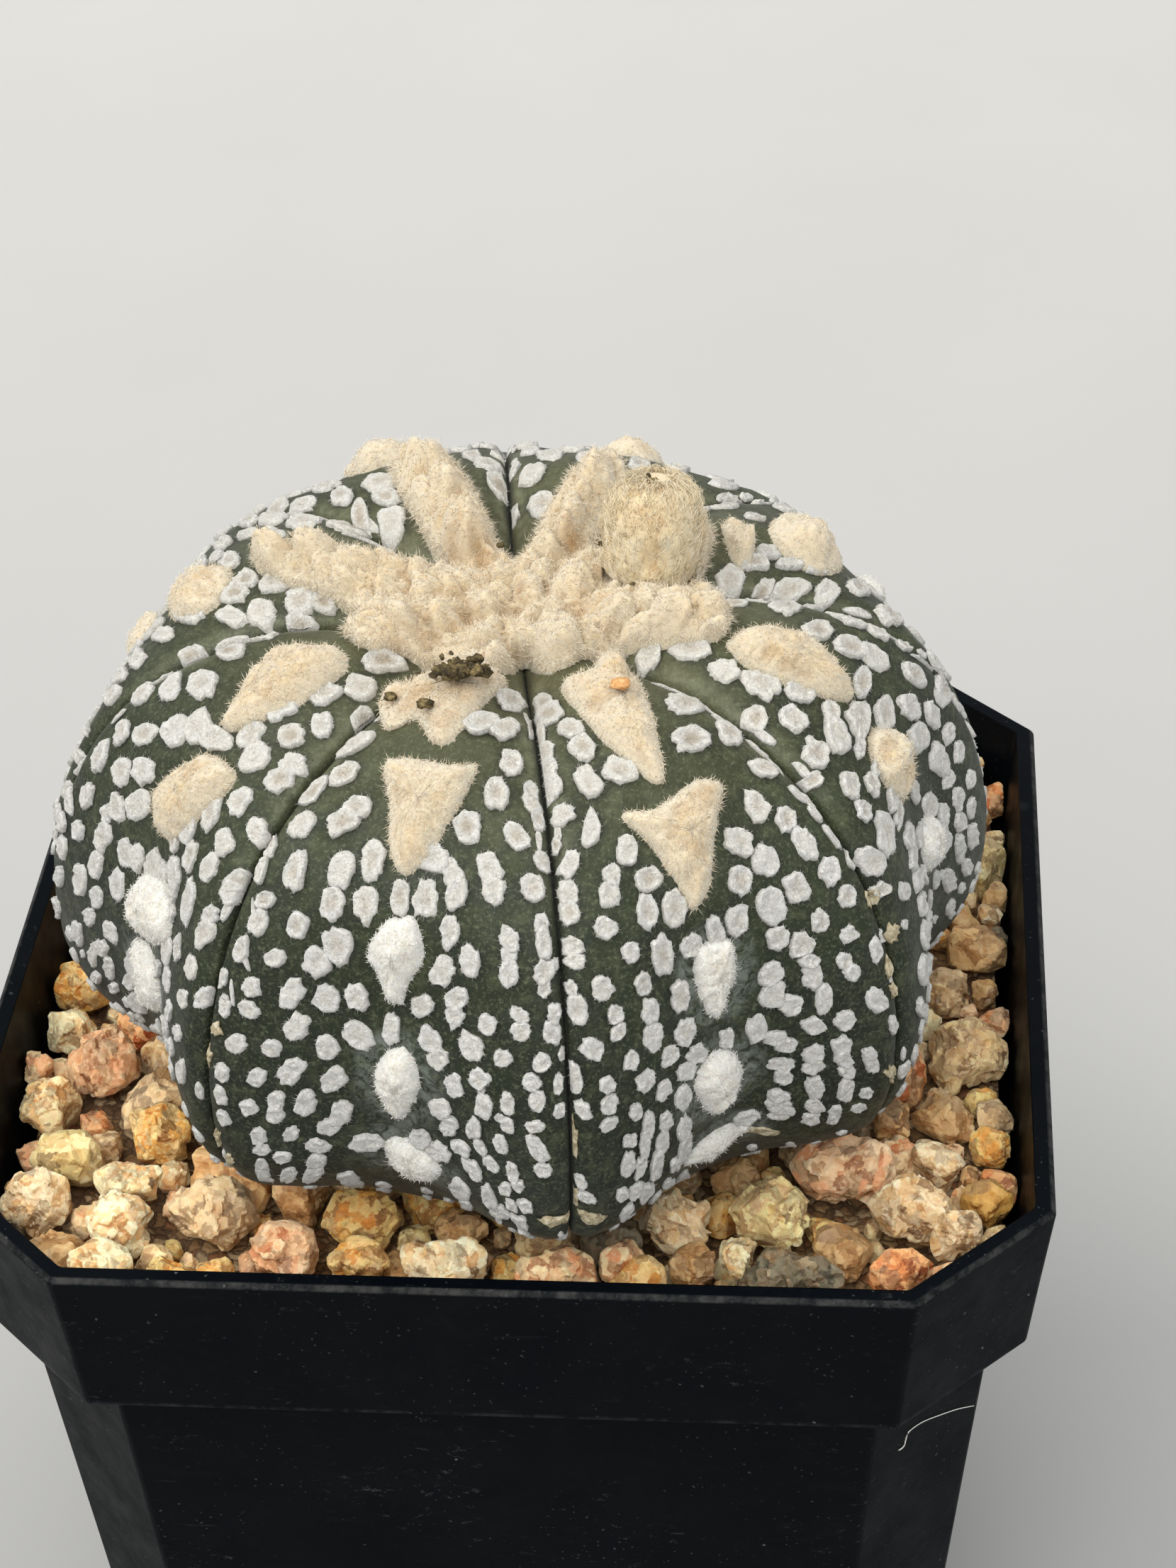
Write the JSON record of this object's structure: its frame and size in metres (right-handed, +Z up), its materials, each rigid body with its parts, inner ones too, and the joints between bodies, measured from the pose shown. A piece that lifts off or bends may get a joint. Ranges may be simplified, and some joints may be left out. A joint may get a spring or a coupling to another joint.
{
  "type": "potted super kabuto star cactus",
  "caption": "Round ribbed star cactus with felt flecks and a woolly crown, growing in a square tapered plastic nursery pot topped with granite grit.",
  "frame": {"origin": "centre of the pot's flat base, on the surface it stands on", "axes": "+Z up, along the pot's height; -Y towards the pictured side; +X to the viewer's right"},
  "size_m": [0.085, 0.085, 0.127],
  "materials": {
    "pot_plastic": "matte moulded black plastic, slightly worn at the rim",
    "cactus_skin": "matte waxy olive green plant skin with felt flecks",
    "soil": "damp crumbly potting mix",
    "grit": "coarse granite grit",
    "stone_ochre": "rough broken granite, ochre",
    "stone_cream": "rough broken granite, cream",
    "stone_pink": "rough broken granite, pink",
    "stone_grey": "rough broken granite, grey and tan",
    "stone_olive": "smooth translucent quartz, olive",
    "stone_dark": "rough broken stone, dark grey green",
    "stone_orange": "rough broken stone, rust orange",
    "stone_tan": "rough broken stone, tan",
    "bud_hair": "dense long soft hairs",
    "dried_remains": "dry brown flower remains",
    "wool_cream": "dense cream felt",
    "wool_white": "dense white felt"
  },
  "bodies": {
    "root": {"pot": "pot_plastic", "cactus_body": "cactus_skin", "potting_mix": "soil", "gravel_bed": "grit", "gravel_01": "stone_ochre", "gravel_02": "stone_cream", "gravel_03": "stone_pink", "gravel_04": "stone_cream", "gravel_05": "stone_ochre", "gravel_06": "stone_olive", "gravel_07": "stone_cream", "gravel_08": "stone_cream", "gravel_09": "stone_grey", "gravel_10": "stone_cream", "gravel_11": "stone_pink", "gravel_12": "stone_ochre", "gravel_13": "stone_cream", "gravel_14": "stone_pink", "gravel_15": "stone_cream", "gravel_16": "stone_grey", "gravel_17": "stone_pink", "gravel_18": "stone_dark", "gravel_19": "stone_cream", "gravel_20": "stone_orange", "gravel_21": "stone_olive", "gravel_22": "stone_grey", "gravel_23": "stone_tan", "gravel_24": "stone_ochre", "gravel_25": "stone_olive", "gravel_26": "stone_tan", "gravel_27": "stone_ochre", "flower_bud": "bud_hair", "dried_flower": "dried_remains", "crown_wool": "wool_cream", "wool_front_left_1": "wool_cream", "wool_front_left_2": "wool_cream", "wool_front_left_3": "wool_white", "wool_front_left_4": "wool_white", "wool_front_left_5": "wool_white", "wool_front_right_1": "wool_cream", "wool_front_right_2": "wool_cream", "wool_front_right_3": "wool_white", "wool_front_right_4": "wool_white", "wool_front_right_5": "wool_white", "wool_left_1": "wool_cream", "wool_left_2": "wool_cream", "wool_left_3": "wool_white", "wool_left_4": "wool_white", "wool_back_left_2": "wool_cream", "wool_back_left_3": "wool_white", "wool_back_2": "wool_cream", "wool_back_3": "wool_white", "wool_back_right_2": "wool_cream", "wool_back_right_3": "wool_white", "wool_right_back_2": "wool_cream", "wool_right_back_3": "wool_white", "wool_right_back_4": "wool_white", "wool_right_1": "wool_cream", "wool_right_2": "wool_cream", "wool_right_3": "wool_white"}
  },
  "joints": []
}
